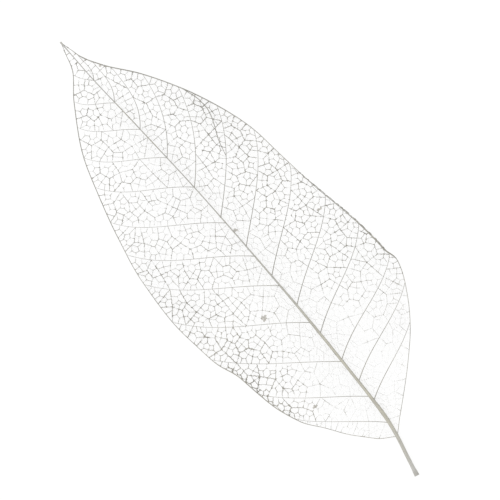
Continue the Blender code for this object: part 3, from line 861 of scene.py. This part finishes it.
def net_pieces(net, material):
    """The net as struts with a ridge above and a ridge below, in four pieces."""
    corners, rings, ranks = net
    rings = [upward(ring, corners) for ring in rings]
    strongest = corner_ranks(corners, ranks)
    width = strut_widths(corners, ranks)
    walked = {edge for ring in rings for edge in edges_of(ring)}
    groups = {}
    for ring in rings:
        u, v = middle_of(ring, corners)
        half, end = ("right" if u > 0 else "left"), ("tip" if v > PIECE_SEAM else "base")
        groups.setdefault(f"vein_net_{half}_{end}", []).append(ring)
    for name, own in sorted(groups.items()):
        place, flat = numbered(own, corners)
        below = len(place)
        tall = np.array([VEIN_WIDTH[strongest[c]] / 2 for c in place])[:, None]
        middle, normal = lay(flat), facing(flat)
        own_walked = {edge for ring in own for edge in edges_of(ring)}
        faces, hole_corners = [], []
        for ring in own:
            edges = edges_of(ring)
            depths = [width[frozenset(e)] / (2 if e[::-1] in walked else 1) for e in edges]
            first = 2 * below + len(hole_corners)
            hole_corners += inset([corners[c] for c in ring], depths)
            for k, (a, b) in enumerate(edges):
                here, there = first + k, first + (k + 1) % len(ring)
                a, b = place[a], place[b]
                faces.append((a, b, there, here))
                faces.append((b + below, a + below, here, there))
                if edges[k][::-1] not in own_walked:
                    faces.append((b, a, a + below, b + below))
        points = np.vstack([middle + normal * tall, middle - normal * tall, lay(hole_corners)])
        piece(name, points, faces, at_corners(faces, [*flat, *flat, *hole_corners]), material)


def tube(path, radii, sides, shape=None):
    """Rings of points round a path, their faces, and (angle, length) at each face corner."""
    path, radii = np.asarray(path, float), np.asarray(radii, float)
    ahead = np.gradient(path, axis=0)
    ahead /= np.linalg.norm(ahead, axis=1)[:, None]
    right = np.cross(ahead, [0, 0, 1])
    right /= np.linalg.norm(right, axis=1)[:, None]
    up = np.cross(right, ahead)
    turn = np.arange(sides) * 2 * math.pi / sides - math.pi / 2
    spread = np.ones((len(path), sides)) if shape is None else shape
    spread = spread * radii[:, None]
    points = (
        path[:, None]
        + right[:, None] * (np.cos(turn)[None, :, None] * spread[:, :, None])
        + up[:, None] * (np.sin(turn)[None, :, None] * spread[:, :, None])
    )
    length = np.concatenate([[0], np.cumsum(np.linalg.norm(np.diff(path, axis=0), axis=1))])
    faces, places = [], []
    for k in range(len(path) - 1):
        for j in range(sides):
            n = (j + 1) % sides
            faces.append((k * sides + j, k * sides + n, (k + 1) * sides + n, (k + 1) * sides + j))
            low, high = length[k], length[k + 1]
            places += [(j, low), (j + 1, low), (j + 1, high), (j, high)]
    around = [(sides / 2 * (1 + math.cos(a)), radii.mean() * math.sin(a)) for a in turn]
    faces.append(tuple(range(sides))[::-1])
    places += [(u, v - END_GAP) for u, v in around[::-1]]
    faces.append(tuple((len(path) - 1) * sides + j for j in range(sides)))
    places += [(u, v + length[-1] + END_GAP) for u, v in around]
    return points.reshape(-1, 3), faces, np.array(places)


def joined_tubes(tubes):
    """Several tubes as one set of points and faces, one after the other on the texture."""
    points, faces, places, first, along = [], [], [], 0, 0.0
    for own, own_faces, place in tubes:
        faces += [tuple(first + k for k in face) for face in own_faces]
        points.append(own)
        places.append(place + [0, along - place[:, 1].min()])
        first += len(own)
        along += np.ptp(place[:, 1]) + TUBE_GAP
    return np.vstack(points), faces, np.vstack(places)


def side_vein_piece(material):
    tubes = []
    for side in (1, -1):
        for start in SIDE_VEIN_STARTS[side]:
            path = side_vein(side, start, SIDE_VEIN_TUBE_STEPS)
            reach = min(1, abs(path[-1][0]) / LONG_REACH)
            slim = (SHORT_SLIM + (1 - SHORT_SLIM) * reach) * SIDE_VEIN_SLIM[side]
            radii = curve_through(SIDE_VEIN_RADIUS, np.linspace(0, 1, len(path))) * slim
            tubes.append(tube(lay(path), radii, SIDE_VEIN_SIDES))
    share = np.linspace(0, 1, len(BRANCH))
    finely = np.linspace(0, 1, BRANCH_POINTS)
    path = [curve_through(list(zip(share, along)), finely) for along in zip(*BRANCH)]
    radii = curve_through(BRANCH_RADIUS, finely)
    tubes.append(tube(lay(np.stack(path, 1)), radii, SIDE_VEIN_SIDES))
    piece("side_veins", *joined_tubes(tubes), material, smooth=True)


def edge_vein_piece(material):
    tubes = []
    for side in (1, -1):
        share = np.linspace(0, 1, EDGE_VEIN_POINTS) ** EDGE_CROWDING
        v = share * BLADE_LENGTH
        closing = np.interp(share, (CLOSING_FROM, 1), (1, CLOSED))
        path = lay(np.stack([side * np.maximum(half_width(side, v) * closing, 1e-3), v], 1))
        tubes.append(tube(path, curve_through(EDGE_VEIN_RADIUS[side], share), EDGE_VEIN_SIDES))
    piece("edge_veins", *joined_tubes(tubes), material, smooth=True)


def midrib_piece(material):
    """The midrib and stalk, ribbed along their length, with a flared cut end."""
    share = np.concatenate([
        np.linspace(-STALK_LENGTH / BLADE_LENGTH, FLARE_END, FLARE_POINTS)[:-1],
        np.linspace(FLARE_END, OVER_TIP, MIDRIB_POINTS),
    ])
    path = np.stack([
        curve_through(MIDRIB_BOW, share) - CENTRE[0],
        share * BLADE_LENGTH - CENTRE[1],
        curve_through(MIDRIB_HEIGHT, share),
    ], 1)
    turn = np.arange(MIDRIB_SIDES)[None] * 2 * math.pi / MIDRIB_SIDES - math.pi / 2
    along = share[:, None] * BLADE_LENGTH
    shape = 1.0
    for depth, count, twist in MIDRIB_RIBS:
        shape = shape + depth * np.sin(count * turn + along * twist)
    radii = curve_through(MIDRIB_RADIUS, share)
    piece("midrib_and_stalk", *tube(path, radii, MIDRIB_SIDES, shape), material, smooth=True)


def fleck_piece(net, material):
    """Cells of the finest net that have kept their dried tissue, as thin closed plates."""
    corners, rings, _ = net
    spots = [
        (side * across, share * BLADE_LENGTH, size) for side, share, across, size in FLECKS
    ]
    kept = []
    for ring in rings:
        ring = upward(ring, corners)
        u, v = middle_of(ring, corners)
        if any(math.hypot(u - s[0], v - s[1]) < s[2] for s in spots):
            kept.append(ring)
    walked = {edge for ring in kept for edge in edges_of(ring)}
    place, flat = numbered(kept, corners)
    middle, normal = lay(flat), facing(flat)
    uneven = np.array([noise.noise((u, v, 0.0)) for u, v in flat])[:, None]
    thick = FLECK_HALF_THICKNESS + FLECK_UNEVENNESS * uneven
    points = np.vstack([middle + normal * thick, middle - normal * thick])
    below, faces = len(place), []
    for ring in kept:
        top = tuple(place[c] for c in ring)
        faces += [top, tuple(c + below for c in top[::-1])]
        for a, b in edges_of(ring):
            if (b, a) not in walked:
                a, b = place[a], place[b]
                faces.append((b, a, a + below, b + below))
    piece("tissue_flecks", points, faces, at_corners(faces, [*flat, *flat]), material)


def shader_nodes(name):
    material = bpy.data.materials.new(name)
    material.use_nodes = True
    nodes, links = material.node_tree.nodes, material.node_tree.links
    return material, nodes, links, nodes["Principled BSDF"]


def ramp(nodes, stops):
    """A colour ramp with these (place, colour) stops."""
    made = nodes.new("ShaderNodeValToRGB")
    elements = made.color_ramp.elements
    while len(elements) > len(stops):
        elements.remove(elements[-1])
    while len(elements) < len(stops):
        elements.new(0.5)
    for element, (place, colour) in zip(elements, stops):
        element.position = place
        element.color = (*colour, 1)
    return made


def noise_of(nodes, links, where, scale, detail):
    """A noise that repeats about scale times a metre across, along and in depth."""
    stretched = nodes.new("ShaderNodeMapping")
    stretched.inputs["Scale"].default_value = scale
    links.new(where.outputs["Object"], stretched.inputs["Vector"])
    made = nodes.new("ShaderNodeTexNoise")
    made.inputs["Scale"].default_value = 1
    made.inputs["Detail"].default_value = detail
    links.new(stretched.outputs["Vector"], made.inputs["Vector"])
    return made


def mixed(nodes, links, amount, colour, other):
    """A colour that gives way to another one by the given amount."""
    made = nodes.new("ShaderNodeMix")
    made.data_type = "RGBA"
    links.new(amount.outputs["Color"], made.inputs[0])
    links.new(colour, made.inputs[6])
    made.inputs[7].default_value = (*other, 1)
    return made.outputs[2]


def rough_and_bumpy(nodes, links, shader, patches, grain, roughness, depth):
    """Roughness from the patches and relief from the grain, depth metres deep."""
    rough = nodes.new("ShaderNodeMapRange")
    rough.inputs["From Min"].default_value = NOISE_RANGE[0]
    rough.inputs["From Max"].default_value = NOISE_RANGE[1]
    rough.inputs["To Min"].default_value = roughness - ROUGHNESS_SPREAD
    rough.inputs["To Max"].default_value = roughness + ROUGHNESS_SPREAD
    links.new(patches.outputs["Fac"], rough.inputs["Value"])
    links.new(rough.outputs["Result"], shader.inputs["Roughness"])
    bump = nodes.new("ShaderNodeBump")
    bump.inputs["Strength"].default_value = BUMP_STRENGTH
    bump.inputs["Distance"].default_value = depth
    links.new(grain.outputs["Fac"], bump.inputs["Height"])
    links.new(bump.outputs["Normal"], shader.inputs["Normal"])


def vein_material(name, tints, dark_tint, roughness, fibres, depth):
    """Bleached fibre: its tint changes from the stalk to the tip, with darker patches and painted
    shade in the furrows between its fibres.
    """
    material, nodes, links, shader = shader_nodes(name)
    where = nodes.new("ShaderNodeTexCoord")
    apart = nodes.new("ShaderNodeSeparateXYZ")
    links.new(where.outputs["Object"], apart.inputs[0])
    along = nodes.new("ShaderNodeMapRange")
    along.inputs["From Min"].default_value = -(STALK_LENGTH + CENTRE[1]) * MM
    along.inputs["From Max"].default_value = (BLADE_LENGTH - CENTRE[1]) * MM
    links.new(apart.outputs["Y"], along.inputs["Value"])
    tint = ramp(nodes, tints)
    links.new(along.outputs["Result"], tint.inputs["Fac"])
    patches = noise_of(nodes, links, where, PATCHES, detail=5)
    amount = ramp(nodes, PATCH_STOPS)
    links.new(patches.outputs["Fac"], amount.inputs["Fac"])
    colour = mixed(nodes, links, amount, tint.outputs["Color"], dark_tint)
    grain = noise_of(nodes, links, where, fibres, detail=3)
    # Painted shade: the colour is darkened in the furrows between the fibres.
    painted_furrow_shade = ramp(nodes, PAINTED_FURROW_SHADE_STOPS)
    links.new(grain.outputs["Fac"], painted_furrow_shade.inputs["Fac"])
    colour = mixed(nodes, links, painted_furrow_shade, colour, [PAINTED_FURROW_SHADE * part for part in dark_tint])
    links.new(colour, shader.inputs["Base Color"])
    rough_and_bumpy(nodes, links, shader, patches, grain, roughness, depth)
    return material


def fleck_material():
    material, nodes, links, shader = shader_nodes("dried_tissue")
    where = nodes.new("ShaderNodeTexCoord")
    grain = noise_of(nodes, links, where, FLECK_GRAINS, detail=4)
    tint = ramp(nodes, FLECK_TINTS)
    links.new(grain.outputs["Fac"], tint.inputs["Fac"])
    links.new(tint.outputs["Color"], shader.inputs["Base Color"])
    rough_and_bumpy(nodes, links, shader, grain, grain, FLECK_ROUGHNESS, FLECK_DEPTH)
    return material


def floor_piece():
    bpy.ops.mesh.primitive_plane_add(size=FLOOR_SIZE, location=(0, 0, 0))
    floor = bpy.context.active_object
    floor.name = "floor"
    material, _, _, shader = shader_nodes("white_paper")
    shader.inputs["Base Color"].default_value = FLOOR_GREY
    shader.inputs["Roughness"].default_value = FLOOR_ROUGHNESS
    shader.inputs["Specular IOR Level"].default_value = 0.0
    shader.inputs["Emission Color"].default_value = WHITE
    shader.inputs["Emission Strength"].default_value = FLOOR_GLOW
    floor.data.materials.append(material)


def lights_and_camera():
    scene = bpy.context.scene
    world = bpy.data.worlds.new("studio")
    world.use_nodes = True
    background = world.node_tree.nodes["Background"]
    background.inputs["Color"].default_value = WHITE
    background.inputs["Strength"].default_value = 1.0
    scene.world = world
    light = bpy.data.lights.new("soft_box", "AREA")
    light.shape = "DISK"
    light.size = LIGHT_SIZE
    light.energy = LIGHT_POWER
    soft_box = bpy.data.objects.new("soft_box", light)
    soft_box.location = LIGHT_PLACE
    soft_box.rotation_euler = [math.radians(part) for part in LIGHT_TILT]
    scene.collection.objects.link(soft_box)

    lens = bpy.data.cameras.new("camera")
    lens.lens, lens.sensor_width = LENS, SENSOR
    camera = bpy.data.objects.new("camera", lens)
    camera.location = (0.0, 0.0, VIEW_WIDTH * LENS / SENSOR)
    camera.rotation_euler = (0, 0, math.radians(CAMERA_TURN))
    scene.collection.objects.link(camera)
    scene.camera = camera
    scene.view_settings.view_transform = "Standard"


def main():
    net_material = vein_material("vein_net", *NET_LOOK)
    rib_material = vein_material("round_veins", *RIB_LOOK)
    net = part_cells()
    for generation in FINER_VEINS:
        net = finer(net, *generation)
    net_pieces(net, net_material)
    side_vein_piece(net_material)
    edge_vein_piece(net_material)
    midrib_piece(rib_material)
    fleck_piece(net, fleck_material())
    floor_piece()
    lights_and_camera()


main()
